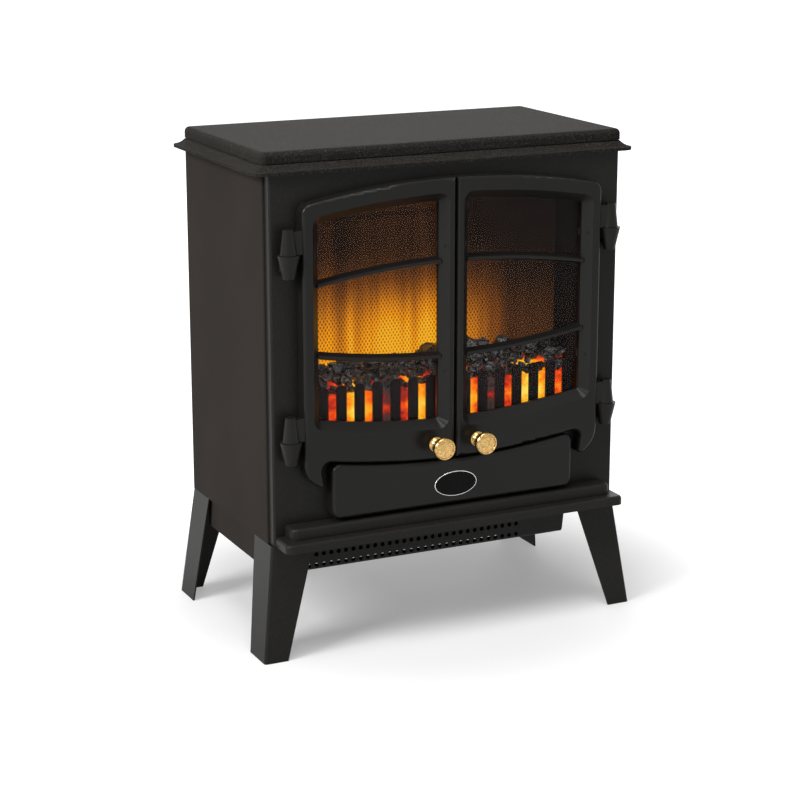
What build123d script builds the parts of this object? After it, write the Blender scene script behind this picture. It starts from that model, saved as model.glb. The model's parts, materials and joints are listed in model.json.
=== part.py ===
"""Electric fireplace stove: a sheet-steel casing on four splayed legs, with two arched glass
doors before a lit coal bed, a drop-down flap over the controls and a fan heater in the base.

Millimetres, +Z up. The stove faces -Y, stands on Z = 0 and is centred on X = 0.
"""

import math
import os

from build123d import *

os.makedirs("parts", exist_ok=True)

# Casing
overall_height = 600.0
leg_height = 138.0
body_width = 462.0
body_depth = 262.0
steel = 1.5
flange = 14.0
casing_bend = 2.0
fit_gap = 0.4
running_gap = 0.08

# Top plate
top_thickness = 25.0
top_overhang_side = 16.0
top_overhang_front = 7.0
top_corner = 14.0
top_lip = 3.5
top_ogee_height = 7.0
top_ogee_width = 12.0
top_groove = 1.5
top_groove_depth = 1.2
top_round = 6.0
top_skin = 3.0
top_seat = 8.0

# Fascia
fascia_inset = 3.0
fascia_depth = 14.0
fascia_wall = 4.0
fascia_round = 3.0
door_margin = 33.0
door_top_margin = 14.5
opening_overlap = 7.0
opening_overlap_top = 10.0

# Doors
door_thickness = 18.5
door_lift = 0.5
door_gap = 2.0
door_round = 4.5
door_corner = 12.0
door_wall = 4.0
arch_rise = 20.0
window_inner_margin = 8.0
window_outer_margin = 12.0
window_top_margin = 17.0
window_bottom_margin = 37.5
window_corner = 3.0
cove_width = 10.0
cove_depth = 11.0
bar_height = 9.5
bar_depth = 9.0
bar_slope = 18.0
upper_bar_drop = 93.5
lower_bar_rise = 119.5
glass_thickness = 3.0
glass_lap = 5.0

# Horns of the doors beside the flap
horn_width = 19.0
horn_tip_width = 25.0
horn_drop = 33.0
horn_length = 38.0
horn_corner = 11.0
horn_tip_round = 2.5

# Hinges
hinge_offset = 15.0
hinge_stand = 12.0
cup_radius = 13.0
cup_foot_radius = 7.0
cup_height = 27.0
knuckle_radius = 10.0
knuckle_top_radius = 6.5
knuckle_height = 29.0
hinge_play = 0.5
hinge_web = 9.0
hinge_round = 2.0
pin_radius = 3.0
pin_bottom = 5.0
pin_top = 5.0
upper_hinge_drop = 75.5
lower_hinge_rise = 42.5

# Knobs, catches and glass clips
knob_spacing = 55.4
knob_radius = 13.0
knob_reach = 28.0
knob_base_radius = 9.0
knob_stem_radius = 5.0
knob_collar = 3.0
knob_disc = 8.0
knob_bead = 2.0
knob_height = 20.0
screw_radius = 2.0
screw_head_radius = 4.0
screw_head = 2.0
catch_width = 48.0
catch_drop = 11.0
catch_depth = 12.0
catch_height = 22.0
strike_size = 16.0
strike_thickness = 1.0
strike_gap = 0.3
clip_length = 10.0
clip_width = 9.0
clip_screw = 3.0
clip_boss = 3.0
clip_rise = 106.5
clip_drop = 80.5
clip_thickness = 1.0

# Flap over the controls
flap_width = 321.0
flap_height = 55.5
flap_rest_gap = 3.0
flap_door_gap = 2.0
flap_corner = 10.0
flap_round = 5.0
flap_wall = 3.0
flap_pivot_up = 9.3
flap_pivot_back = 9.3
flap_heel = 6.5
flap_lug_spacing = 240.0
flap_lug_width = 8.0
flap_lug_radius = 5.0
flap_lug_play = 0.8
flap_rib = 3.0
flap_pin_radius = 1.6

# Hearth ledge
plinth_height = 25.0
plinth_reach = 36.0
plinth_width = 452.0
plinth_lower_height = 11.0
plinth_step = 13.0
plinth_end_step = 12.0
plinth_round = 4.0
plinth_corner = 8.0
plinth_wall = 3.0

# Legs
leg_sheet = 2.0
leg_front_top = 54.0
leg_front_foot = 30.0
leg_side_top = 54.0
leg_side_foot = 46.0
leg_flare_side = 18.0
leg_flare_front = 17.0
leg_flare_rear = 9.0
leg_bend = 3.5
leg_tab = 30.0

# Base pan and warm-air outlet
pan_inset = 5.0
skirt_depth = 38.0
skirt_clear = 40.0
outlet_setback = 4.0
outlet_sheet = 1.2
outlet_left = -200.0
outlet_right = 165.0
outlet_slant = 4.0
outlet_bend = 5.0
outlet_foot = 18.0
hole_radius = 2.9
hole_pitch = 9.6
hole_count = 30
hole_centre = -43.0
hole_upper_drop = 18.5
hole_lower_drop = 32.0
hole_foot_back = 8.0

# Control recess
recess_width = 292.0
recess_height = 38.0
recess_rise = 10.0
recess_depth = 20.0
recess_flange = 7.0
switch_spacing = 40.0
switch_centre = -50.0
switch_width = 13.0
switch_height = 23.0
switch_depth = 18.0
switch_bezel = 1.5
rocker_width = 10.0
rocker_height = 19.6
rocker_pivot_depth = 2.0
rocker_trunnion = 1.2
thermostat_x = 80.0
thermostat_radius = 15.0
thermostat_height = 14.0
thermostat_shaft = 3.0

# Fire chamber
chamber_width = 380.0
chamber_rise = 16.5
chamber_drop = 8.0
chamber_depth = 126.0
chamber_sheet = 1.2
fret_setback = 24.0
fret_thickness = 3.0
fret_pitch = 23.5
fret_bars = 16
fret_bar_width = 12.5
fret_rail = 20.0
fret_height = 75.0
bed_setback = 34.0
bed_front_height = 58.0
bed_rear_height = 88.0
bed_depth = 46.0
bed_wall = 2.5
coal_size = 27.0
coal_columns = 13
coal_rows = 2
screen_setback = 82.0
screen_thickness = 3.0
reflector_thickness = 0.8

# Lamps and flame effect
lamp_setback = 57.0
lamp_lift = 21.0
lamp_holder_x = 150.0
lamp_holder_length = 24.0
lamp_holder_radius = 12.0
lamp_radius = 16.0
lamp_length = 72.0
lamp_cap_radius = 7.0
spindle_setback = 108.0
spindle_rise = 35.0
spindle_radius = 2.0
vane_reach = 14.0
vane_length = 22.0
vane_thickness = 0.6
vane_sets = 10
vane_arms = 4
vane_turn = 27.0
spindle_motor_radius = 18.0
spindle_motor_length = 18.0
spindle_boss_radius = 7.0
spindle_boss_length = 12.0

# Fan heater
fan_x = -44.0
fan_length = 200.0
fan_setback = 128.0
fan_rise = 47.0
fan_radius = 24.0
fan_clear = 6.0
fan_disc = 2.0
fan_blades = 16
fan_blade_depth = 6.0
fan_blade_thickness = 1.2
fan_shaft_radius = 3.0
fan_bush_radius = 6.0
fan_motor_radius = 26.0
fan_motor_length = 38.0
fan_motor_foot = 30.0
duct_height = 28.0
duct_setback = 38.0
duct_mouth = 34.0
heater_setback = 84.0
heater_depth = 8.0
heater_fins = 9
cutout_radius = 9.0
cutout_height = 6.0

# Back
vent_length = 60.0
vent_height = 5.0
vent_pitch = 12.0
vent_rows = 7
vent_spacing = 170.0
vent_drop = 105.0
inlet_x = 170.0
inlet_rise = 27.0
inlet_radius = 8.0
inlet_bore = 4.0
inlet_flange = 11.0
back_screw_drop = 8.0
terminal_width = 46.0
terminal_depth = 22.0
terminal_height = 20.0

# Places that follow from the sizes above
side_x = body_width / 2
fascia_x = side_x - fascia_inset
door_x = fascia_x - door_margin
hinge_x = door_x + hinge_offset
body_top = overall_height - top_thickness
body_height = body_top - leg_height
door_reach = door_thickness + door_lift
total_depth = door_reach + knob_reach + body_depth + leg_flare_rear
front_y = -total_depth / 2 + door_reach + knob_reach
back_y = front_y + body_depth
middle_y = (front_y + back_y) / 2
door_front_y = front_y - door_reach
door_back_y = front_y - door_lift
hinge_y = front_y - hinge_stand
plinth_top = leg_height + plinth_height
flap_low = plinth_top + flap_rest_gap
flap_high = flap_low + flap_height
door_low = flap_high + flap_door_gap
door_high = body_top - door_top_margin
knob_z = door_low + knob_height
upper_bar_crown = door_high - upper_bar_drop
lower_bar_low = door_low + lower_bar_rise
upper_hinge_z = door_high - upper_hinge_drop
lower_hinge_z = door_low + lower_hinge_rise
clip_heights = (door_low + clip_rise, door_high - clip_drop)
window_in = door_gap / 2 + window_inner_margin
window_out = door_x - window_outer_margin
window_low = door_low + window_bottom_margin
window_high = door_high - window_top_margin
opening_x = door_x - opening_overlap
opening_low = door_low + opening_overlap_top
opening_high = door_high - opening_overlap_top
glass_back_y = door_back_y
glass_front_y = door_back_y - glass_thickness
flap_x = flap_width / 2
flap_pivot_y = front_y - flap_pivot_back - door_lift
flap_pivot_z = flap_low + flap_pivot_up
chamber_x = chamber_width / 2
chamber_low = door_low + chamber_rise
chamber_high = body_top - chamber_drop
chamber_floor = chamber_low + chamber_sheet
chamber_in = chamber_x - chamber_sheet
chamber_back_y = front_y + fascia_wall + chamber_depth
recess_y = front_y + fascia_wall + recess_depth
recess_z = flap_low + recess_rise + recess_height / 2
fan_y = front_y + fan_setback
fan_z = leg_height + fan_rise
fan_left = fan_x - fan_length / 2
fan_right = fan_x + fan_length / 2
spindle_y = front_y + spindle_setback
spindle_z = chamber_low + spindle_rise
vent_z = body_top - vent_drop
inlet_z = leg_height + inlet_rise
arch_radius = (door_x**2 + arch_rise**2) / (2 * arch_rise)


def facing(y):
    """Upright plane at y, seen from the front. Extrusions from it go forwards."""
    return Plane.XZ.offset(-y)


def across(x):
    """Plane square to X at x, with Y and Z as its axes. Extrusions from it go right."""
    return Plane.YZ.offset(x)


def level(z):
    """Level plane at z. Extrusions from it go up."""
    return Plane.XY.offset(z)


def arch(x, crown):
    """Height at x of the doors' arc that is highest, at crown, on the centre line."""
    return crown - arch_radius + math.sqrt(arch_radius**2 - x**2)


def sag(x, low):
    """Height at x of the doors' arc that is lowest, at low, on the centre line."""
    return low + arch_radius - math.sqrt(arch_radius**2 - x**2)


def arc_along(curve, height, x_start, x_end):
    """Arc of the curve, arch or sag, between two places along X."""
    x_middle = (x_start + x_end) / 2
    places = [(x, curve(x, height)) for x in (x_start, x_middle, x_end)]
    return ThreePointArc(*places)


def bowed_edges(x_left, x_right, low, low_curve, high, high_curve):
    """Outline of a region between two arcs, closed by upright ends."""
    with BuildLine() as outline:
        bottom = arc_along(low_curve, low, x_left, x_right)
        top = arc_along(high_curve, high, x_right, x_left)
        Line(bottom @ 1, top @ 0)
        Line(top @ 1, bottom @ 0)
    return outline.edges()


def finish(part, name):
    """Name a piece and write it to its file."""
    part.label = name
    export_step(part, f"parts/{name}.step")


# Top plate: a pressed cover with a lip, an ogee, a fine groove and a rounded upper tier
top_x = side_x + top_overhang_side
top_half_depth = body_depth / 2 + top_overhang_front


def top_outline(inset):
    """Rounded rectangle that lies inset from the top plate's edge."""
    with Locations((0, middle_y)):
        radius = max(top_corner - inset / 2, top_round)
        RectangleRounded(2 * (top_x - inset), 2 * (top_half_depth - inset), radius)


with BuildPart() as top_plate:
    tier_z = body_top + top_lip + top_ogee_height
    with BuildSketch(level(body_top)):
        top_outline(0)
    extrude(amount=top_lip)
    with BuildSketch(level(body_top + top_lip)):
        top_outline(0)
    with BuildSketch(level(body_top + top_lip + top_ogee_height * 0.4)):
        top_outline(top_ogee_width * 0.6)
    with BuildSketch(level(tier_z)):
        top_outline(top_ogee_width)
    loft()
    with BuildSketch(level(tier_z)):
        top_outline(top_ogee_width + top_groove_depth)
    extrude(amount=top_groove)
    with BuildSketch(level(tier_z + top_groove)):
        top_outline(top_ogee_width)
    extrude(amount=overall_height - tier_z - top_groove)
    fillet(top_plate.faces().sort_by(Axis.Z)[-1].edges(), radius=top_round)
    with BuildSketch(level(body_top)):
        with Locations((0, middle_y)):
            Rectangle(2 * (side_x - top_seat), body_depth - 2 * top_seat)
    extrude(amount=top_thickness - top_skin, mode=Mode.SUBTRACT)
finish(top_plate.part, "top_plate")


# Side panels: trays of folded sheet, open towards the inside
side_front_y = front_y + fascia_depth
side_depth = back_y - side_front_y
back_panel_width = body_width - 2 * (steel + fit_gap)
back_panel_height = body_height - 2 * (steel + fit_gap)
body_middle_z = (leg_height + body_top) / 2
back_screw_x = back_panel_width / 2 - back_screw_drop
back_screw_z = back_panel_height / 2 - back_screw_drop
back_screw_places = [
    (x_side * back_screw_x, body_middle_z + step * back_screw_z) for x_side in (-1, 1) for step in (-1, 0, 1)
]

with BuildPart() as side_panel_right:
    side_centre = ((side_front_y + back_y) / 2, (leg_height + body_top) / 2)
    with BuildSketch(across(side_x - flange)):
        with Locations(side_centre):
            Rectangle(side_depth, body_height)
    extrude(amount=flange)
    fillet(side_panel_right.edges().filter_by(Axis.Z).group_by(Axis.X)[-1], radius=casing_bend)
    with BuildSketch(across(side_x - flange)):
        with Locations(side_centre):
            Rectangle(side_depth - 2 * steel, body_height - 2 * steel)
    extrude(amount=flange - steel, mode=Mode.SUBTRACT)
    with BuildSketch(facing(back_y)):
        with Locations(*back_screw_places):
            Circle(screw_radius)
    extrude(amount=steel, mode=Mode.SUBTRACT)
finish(side_panel_right.part, "side_panel_right")

with BuildPart() as side_panel_left:
    mirror(side_panel_right.part, about=Plane.YZ)
finish(side_panel_left.part, "side_panel_left")


# Back panel: flat sheet laid on the side panels' rear flanges, with two banks of vents
with BuildPart() as back_panel:
    with BuildSketch(facing(back_y + steel)):
        with Locations((0, body_middle_z)):
            RectangleRounded(back_panel_width, back_panel_height, casing_bend)
        with Locations((0, vent_z)):
            with GridLocations(vent_spacing, vent_pitch, 2, vent_rows):
                SlotOverall(vent_length, vent_height, mode=Mode.SUBTRACT)
        with Locations((inlet_x, inlet_z)):
            Circle(inlet_radius, mode=Mode.SUBTRACT)
        with Locations(*back_screw_places):
            Circle(screw_radius, mode=Mode.SUBTRACT)
    extrude(amount=steel)
finish(back_panel.part, "back_panel")

with BuildPart() as back_screws:
    with BuildSketch(facing(back_y + steel)):
        with Locations(*back_screw_places):
            Circle(screw_radius)
    extrude(amount=2 * steel)
    with BuildSketch(facing(back_y + steel + screw_head)):
        with Locations(*back_screw_places):
            Circle(screw_head_radius)
    extrude(amount=screw_head)
finish(back_screws.part, "back_screws")


# Front fascia: a deep frame, hollow behind, with hinge cups and the flap's two lugs
fascia_back_y = front_y + fascia_depth
hinge_tops = (upper_hinge_z, lower_hinge_z)

with BuildPart() as front_fascia:
    with BuildSketch(facing(fascia_back_y)):
        with Locations((0, body_middle_z)):
            Rectangle(2 * fascia_x, body_height)
    extrude(amount=fascia_depth)
    front_edges = front_fascia.faces().sort_by(Axis.Y)[0].edges()
    fillet(front_edges.filter_by(Axis.Z), radius=fascia_round)
    with BuildSketch(facing(fascia_back_y)):
        with Locations((0, body_middle_z)):
            Rectangle(2 * (fascia_x - fascia_wall), body_height - 2 * fascia_wall)
    extrude(amount=fascia_depth - fascia_wall, mode=Mode.SUBTRACT)
    with BuildSketch(facing(fascia_back_y)):
        make_face(bowed_edges(-opening_x, opening_x, opening_low, sag, opening_high, arch))
        with Locations((0, recess_z)):
            Rectangle(recess_width, recess_height)
    extrude(amount=fascia_depth, mode=Mode.SUBTRACT)
    for x_side in (-1, 1):
        for cup_top in hinge_tops:
            with Locations((x_side * hinge_x, hinge_y, cup_top)):
                Cone(cup_foot_radius, cup_radius, cup_height, align=(Align.CENTER, Align.CENTER, Align.MAX))
            with Locations((x_side * hinge_x, hinge_y, cup_top - cup_height / 2)):
                neck_depth = hinge_stand + fascia_wall / 2
                Box(
                    2 * cup_foot_radius,
                    neck_depth,
                    cup_height / 2,
                    align=(Align.CENTER, Align.MIN, Align.CENTER),
                )
            with Locations((x_side * hinge_x, hinge_y, cup_top)):
                socket = cup_height - pin_bottom
                Cylinder(
                    pin_radius, socket, align=(Align.CENTER, Align.CENTER, Align.MAX), mode=Mode.SUBTRACT
                )
        with BuildSketch(across(x_side * flap_lug_spacing / 2 - flap_lug_width / 2)):
            lug_reach = front_y + fascia_wall - flap_pivot_y
            with Locations((flap_pivot_y, flap_pivot_z)):
                Circle(flap_lug_radius)
                Rectangle(lug_reach, 1.6 * flap_lug_radius, align=(Align.MIN, Align.CENTER))
                Circle(flap_pin_radius + running_gap, mode=Mode.SUBTRACT)
        extrude(amount=flap_lug_width)
finish(front_fascia.part, "front_fascia")

with BuildPart() as hinge_pins:
    pin_length = cup_height - pin_bottom + hinge_play + knuckle_height - pin_top
    for pin_foot in [cup_top - cup_height + pin_bottom for cup_top in hinge_tops]:
        with Locations((-hinge_x, hinge_y, pin_foot), (hinge_x, hinge_y, pin_foot)):
            Cylinder(pin_radius, pin_length, align=(Align.CENTER, Align.CENTER, Align.MIN))
finish(hinge_pins.part, "hinge_pins")


# Doors: a hollow moulded frame with a coved window, arched bars, a horn and two knuckles
horn_inner_x = door_x - horn_width
horn_tip = (door_x - horn_tip_width, sag(door_x, door_low) - horn_length)
horn_start_z = horn_tip[1] + horn_drop
knob_x = knob_spacing / 2
clip_outer_x = window_out - cove_width + glass_lap + clip_screw
clip_inner_x = window_in + cove_width - glass_lap - clip_screw
clip_places = [(x, z) for x in (clip_inner_x, clip_outer_x) for z in clip_heights]


def door_outline():
    """Face of the right door, from the gap on the centre line to the hinge side."""
    with BuildLine() as edge:
        bottom = arc_along(sag, door_low, door_gap / 2, horn_inner_x)
        top = arc_along(arch, door_high, door_x, door_gap / 2)
        Line(bottom @ 1, horn_tip)
        TangentArc((door_x, horn_start_z), horn_tip, tangent=(0, -1))
        Line((door_x, horn_start_z), top @ 0)
        Line(top @ 1, bottom @ 0)
    make_face(edge.edges())


def round_corner(sketch, place, radius):
    """Fillet the one corner of a sketch that is nearest to a place."""
    fillet(sketch.vertices().sort_by_distance((*place, 0))[0], radius=radius)


def window_edges(margin):
    """Outline of the right door's glass opening, larger all round by margin."""
    inner = window_in + cove_width - margin
    outer = window_out - cove_width + margin
    low = window_low + cove_width - margin
    high = window_high - cove_width + margin
    return bowed_edges(inner, outer, low, sag, high, arch)


def window_face(margin):
    """Face of the right door's glass opening, larger all round by margin."""
    make_face(window_edges(margin))


def door_bar(curve, height):
    """One curved bar across the window, from its lower edge's height, narrower at its front."""
    inner = window_in + cove_width - bar_depth / 2
    outer = window_out - cove_width + bar_depth / 2
    with BuildSketch(facing(glass_front_y), mode=Mode.PRIVATE) as bar:
        make_face(bowed_edges(inner, outer, height, curve, height + bar_height, curve))
    extrude(bar.sketch, amount=bar_depth, taper=bar_slope)


with BuildPart() as door_frame_right:
    with BuildSketch(facing(door_back_y)) as outline:
        door_outline()
        round_corner(outline, (door_x, arch(door_x, door_high)), door_corner)
        round_corner(outline, (horn_inner_x, sag(horn_inner_x, door_low)), horn_corner)
        round_corner(outline, horn_tip, horn_tip_round)
    extrude(amount=door_thickness)
    fillet(door_frame_right.faces().sort_by(Axis.Y)[0].edges(), radius=door_round)
    with BuildSketch(facing(door_back_y)) as opening:
        window_face(0)
        fillet(opening.vertices(), radius=window_corner)
    extrude(amount=door_thickness, mode=Mode.SUBTRACT)
    cove_edges = door_frame_right.faces().sort_by(Axis.Y)[0].inner_wires()[0].edges()
    chamfer(cove_edges, length=cove_width, length2=cove_depth)
    with BuildSketch(facing(door_back_y)) as pocket:
        door_outline()
        round_corner(pocket, (door_x, arch(door_x, door_high)), door_corner)
        offset(amount=-door_wall, kind=Kind.INTERSECTION)
        window_rim = window_edges(glass_lap + door_wall)
        make_face(window_rim, mode=Mode.SUBTRACT)
    extrude(amount=door_thickness - door_wall, mode=Mode.SUBTRACT)
    with BuildSketch(facing(door_back_y)):
        window_face(glass_lap)
    extrude(amount=glass_thickness, mode=Mode.SUBTRACT)
    door_bar(arch, upper_bar_crown - bar_height)
    door_bar(sag, lower_bar_low)
    with BuildSketch(facing(door_back_y)):
        with Locations((knob_x, knob_z)):
            Circle(knob_base_radius - running_gap)
        with Locations(*clip_places):
            Circle(clip_boss)
    extrude(amount=door_thickness - door_wall)
    with Locations(facing(door_back_y).location * Location((knob_x, knob_z, 0))):
        Hole(screw_radius, depth=2 * door_thickness)
    for knuckle_foot in [cup_top + hinge_play for cup_top in hinge_tops]:
        with Locations((hinge_x, hinge_y, knuckle_foot)):
            Cone(
                knuckle_radius,
                knuckle_top_radius,
                knuckle_height,
                align=(Align.CENTER, Align.CENTER, Align.MIN),
            )
            web_length = hinge_offset + door_wall
            web_height = knuckle_height - hinge_round
            Box(web_length, hinge_web, web_height, align=(Align.MAX, Align.CENTER, Align.MIN))
            Cylinder(
                pin_radius + running_gap,
                knuckle_height - pin_top + hinge_play,
                align=(Align.CENTER, Align.CENTER, Align.MIN),
                mode=Mode.SUBTRACT,
            )
finish(door_frame_right.part, "door_frame_right")

with BuildPart() as door_glass_right:
    with BuildSketch(facing(glass_back_y)):
        window_face(glass_lap - fit_gap)
    extrude(amount=glass_thickness)
finish(door_glass_right.part, "door_glass_right")

with BuildPart() as glass_clips_right:
    with BuildSketch(facing(door_back_y + clip_thickness)):
        with Locations(*clip_places):
            RectangleRounded(clip_length + clip_screw, clip_width, clip_thickness)
    extrude(amount=clip_thickness)
finish(glass_clips_right.part, "glass_clips_right")

with BuildPart() as door_strike_right:
    with BuildSketch(facing(door_back_y + strike_thickness)):
        with Locations((catch_width / 4, opening_high - catch_drop / 2)):
            Rectangle(strike_size, catch_drop - 2 * strike_thickness)
    extrude(amount=strike_thickness)
finish(door_strike_right.part, "door_strike_right")

with BuildPart() as door_knob_right:
    knob_plane = Plane((knob_x, door_front_y, knob_z), x_dir=(1, 0, 0), z_dir=(0, 0, 1))
    disc_start = -(knob_reach - knob_disc)
    with BuildSketch(knob_plane):
        with BuildLine():
            collar = Polyline((0, 0), (knob_base_radius, 0), (knob_base_radius, -knob_collar))
            neck = ThreePointArc(
                collar @ 1,
                (knob_stem_radius, -0.5 * knob_reach),
                (knob_base_radius, disc_start),
            )
            shoulder = Line(neck @ 1, (knob_radius, disc_start - knob_collar / 2))
            bead = ThreePointArc(
                shoulder @ 1,
                (knob_radius + knob_bead / 2, -knob_reach + knob_disc / 2),
                (knob_radius, -knob_reach + knob_bead / 2),
            )
            lip = ThreePointArc(
                bead @ 1,
                (knob_radius - knob_bead / 2, -knob_reach),
                (knob_radius - knob_bead, -knob_reach + knob_bead / 2),
            )
            dome = ThreePointArc(
                lip @ 1,
                (0.55 * knob_radius, -knob_reach + knob_bead / 8),
                (0.1 * knob_radius, -knob_reach),
            )
            Polyline(dome @ 1, (0, -knob_reach), (0, 0))
        make_face()
    revolve(axis=Axis((knob_x, door_front_y, knob_z), (0, 1, 0)))
    with Locations(facing(door_front_y).location * Location((knob_x, knob_z, 0))):
        Cylinder(
            screw_radius,
            knob_reach / 3,
            align=(Align.CENTER, Align.CENTER, Align.MIN),
            mode=Mode.SUBTRACT,
        )
finish(door_knob_right.part, "door_knob_right")

with BuildPart() as knob_screw_right:
    with Locations(facing(door_back_y + screw_head).location * Location((knob_x, knob_z, 0))):
        Cylinder(screw_head_radius, screw_head, align=(Align.CENTER, Align.CENTER, Align.MIN))
        shank = screw_head + door_thickness + knob_reach / 4
        Cylinder(screw_radius, shank, align=(Align.CENTER, Align.CENTER, Align.MIN))
finish(knob_screw_right.part, "knob_screw_right")

right_door_pieces = {
    "door_frame": door_frame_right,
    "door_glass": door_glass_right,
    "glass_clips": glass_clips_right,
    "door_strike": door_strike_right,
    "door_knob": door_knob_right,
    "knob_screw": knob_screw_right,
}
for piece_name, right_piece in right_door_pieces.items():
    with BuildPart() as left_piece:
        mirror(right_piece.part, about=Plane.YZ)
    finish(left_piece.part, f"{piece_name}_left")

with BuildPart() as door_catch:
    catch_y = door_back_y + strike_thickness + strike_gap
    catch_back_y = front_y + catch_depth
    with BuildSketch(facing(catch_back_y)):
        with Locations((0, opening_high - catch_drop)):
            Rectangle(catch_width, catch_drop - strike_thickness, align=(Align.CENTER, Align.MIN))
    extrude(amount=catch_back_y - catch_y)
    with BuildSketch(facing(catch_back_y)):
        with Locations((0, opening_high - catch_drop)):
            Rectangle(catch_width, catch_height, align=(Align.CENTER, Align.MIN))
    extrude(amount=catch_depth - fascia_wall)
finish(door_catch.part, "door_catch")


# Flap: a hollow cover hinged along its lower edge on two lugs of the fascia
flap_back_y = door_back_y
with BuildPart() as ash_flap:
    with BuildSketch(facing(flap_back_y)) as flap_outline:
        with BuildLine():
            flap_top = arc_along(sag, flap_high, -flap_x, flap_x)
            Polyline(flap_top @ 1, (flap_x, flap_low), (-flap_x, flap_low), flap_top @ 0)
        make_face()
        fillet(flap_outline.vertices(), radius=flap_corner)
    extrude(amount=door_thickness)
    fillet(ash_flap.faces().sort_by(Axis.Y)[0].edges(), radius=flap_round)
    with BuildSketch(facing(flap_back_y)):
        with BuildLine():
            hollow_top = arc_along(sag, flap_high - flap_wall, flap_wall - flap_x, flap_x - flap_wall)
            Polyline(
                hollow_top @ 1,
                (flap_x - flap_wall, flap_low + flap_wall),
                (flap_wall - flap_x, flap_low + flap_wall),
                hollow_top @ 0,
            )
        make_face()
    extrude(amount=door_thickness - flap_wall, mode=Mode.SUBTRACT)
    rib_centre = flap_lug_width / 2 + flap_lug_play + flap_rib / 2
    for lug_x in (-flap_lug_spacing / 2, flap_lug_spacing / 2):
        for rib_x in (lug_x - rib_centre, lug_x + rib_centre):
            with BuildSketch(across(rib_x - flap_rib / 2)):
                with Locations((flap_pivot_y, flap_pivot_z)):
                    Circle(flap_pivot_up - flap_wall / 2)
                    Circle(flap_pin_radius, mode=Mode.SUBTRACT)
            extrude(amount=flap_rib)
        slot_width = flap_lug_width + 2 * flap_lug_play
        with Locations((lug_x, flap_pivot_y - flap_lug_radius, flap_low)):
            slot_depth = flap_lug_radius + flap_pivot_back
            Box(
                slot_width,
                slot_depth,
                2 * flap_wall,
                align=(Align.CENTER, Align.MIN, Align.CENTER),
                mode=Mode.SUBTRACT,
            )
    with BuildSketch(across(-flap_x)):
        Polygon(
            (flap_back_y, flap_low),
            (flap_back_y, flap_low + flap_heel),
            (flap_back_y - flap_heel, flap_low),
            align=None,
        )
    extrude(amount=flap_width, mode=Mode.SUBTRACT)
finish(ash_flap.part, "ash_flap")

with BuildPart() as flap_pins:
    flap_pin_length = 2 * (rib_centre + flap_rib / 2)
    for lug_x in (-flap_lug_spacing / 2, flap_lug_spacing / 2):
        with Locations(across(lug_x).location * Location((flap_pivot_y, flap_pivot_z, 0))):
            Cylinder(flap_pin_radius, flap_pin_length)
finish(flap_pins.part, "flap_pins")


# Hearth ledge: a two-tier moulding on the fascia, hollow below
def ledge(width, reach, low, height, top_edge):
    """One tier of the ledge, with rounded front corners and a rounded nose."""
    with BuildPart() as tier:
        with BuildSketch(level(low)):
            with Locations((0, front_y)):
                Rectangle(width, reach, align=(Align.CENTER, Align.MAX))
        extrude(amount=height)
        fillet(tier.edges().filter_by(Axis.Z).group_by(Axis.Y)[0], radius=plinth_corner)
        rim = tier.faces().sort_by(Axis.Z)[-1].edges()
        fillet(rim.filter_by(lambda edge: edge.center().Y < front_y - 0.1), radius=top_edge)
    return tier.part


upper_width = plinth_width - 2 * plinth_end_step
upper_reach = plinth_reach - plinth_step
step_z = leg_height + plinth_lower_height
lower_tier = ledge(plinth_width, plinth_reach, leg_height, plinth_lower_height, plinth_round)
upper_tier = ledge(upper_width, upper_reach, step_z, plinth_height - plinth_lower_height, plinth_round)
with BuildPart() as plinth:
    add(lower_tier)
    add(upper_tier)
    with BuildSketch(level(leg_height)):
        with Locations((0, front_y)):
            hollow_width = upper_width - 2 * plinth_wall
            Rectangle(hollow_width, upper_reach - plinth_wall, align=(Align.CENTER, Align.MAX))
    extrude(amount=plinth_height - plinth_wall, mode=Mode.SUBTRACT)
finish(plinth.part, "plinth")


# Legs: folded sheet that splays out and tapers towards the foot, with a tab under the pan
def leg_profile(corner_x, corner_y, arm_x, arm_y, inwards):
    """Section of a leg: two arms from a rounded fold, the second running inwards along Y."""
    with BuildLine() as outline:
        Polyline(
            (corner_x, corner_y),
            (corner_x - arm_x, corner_y),
            (corner_x - arm_x, corner_y + inwards * leg_sheet),
            (corner_x - leg_sheet, corner_y + inwards * leg_sheet),
            (corner_x - leg_sheet, corner_y + inwards * arm_y),
            (corner_x, corner_y + inwards * arm_y),
            close=True,
        )
    make_face(outline.edges())


leg_ends = {"front": (front_y, 1, leg_flare_front), "rear": (back_y, -1, leg_flare_rear)}
pan_low = leg_height - steel
for leg_end, (leg_y, inwards, flare) in leg_ends.items():
    with BuildPart() as leg_right:
        foot = (side_x + leg_flare_side, leg_y - inwards * flare)
        with BuildSketch(level(0)) as foot_section:
            leg_profile(*foot, leg_front_foot, leg_side_foot, inwards)
            round_corner(foot_section, foot, leg_bend)
        with BuildSketch(level(leg_height)) as top_section:
            leg_profile(side_x, leg_y, leg_front_top, leg_side_top, inwards)
            round_corner(top_section, (side_x, leg_y), leg_bend)
        loft(ruled=True)
        with Locations((side_x - leg_sheet / 2, leg_y + inwards * leg_sheet / 2, pan_low)):
            tab_side = Align.MIN if inwards > 0 else Align.MAX
            Box(leg_tab, leg_tab, leg_sheet, align=(Align.MAX, tab_side, Align.MAX))
    finish(leg_right.part, f"leg_{leg_end}_right")
    with BuildPart() as leg_left:
        mirror(leg_right.part, about=Plane.YZ)
    finish(leg_left.part, f"leg_{leg_end}_left")

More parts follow.
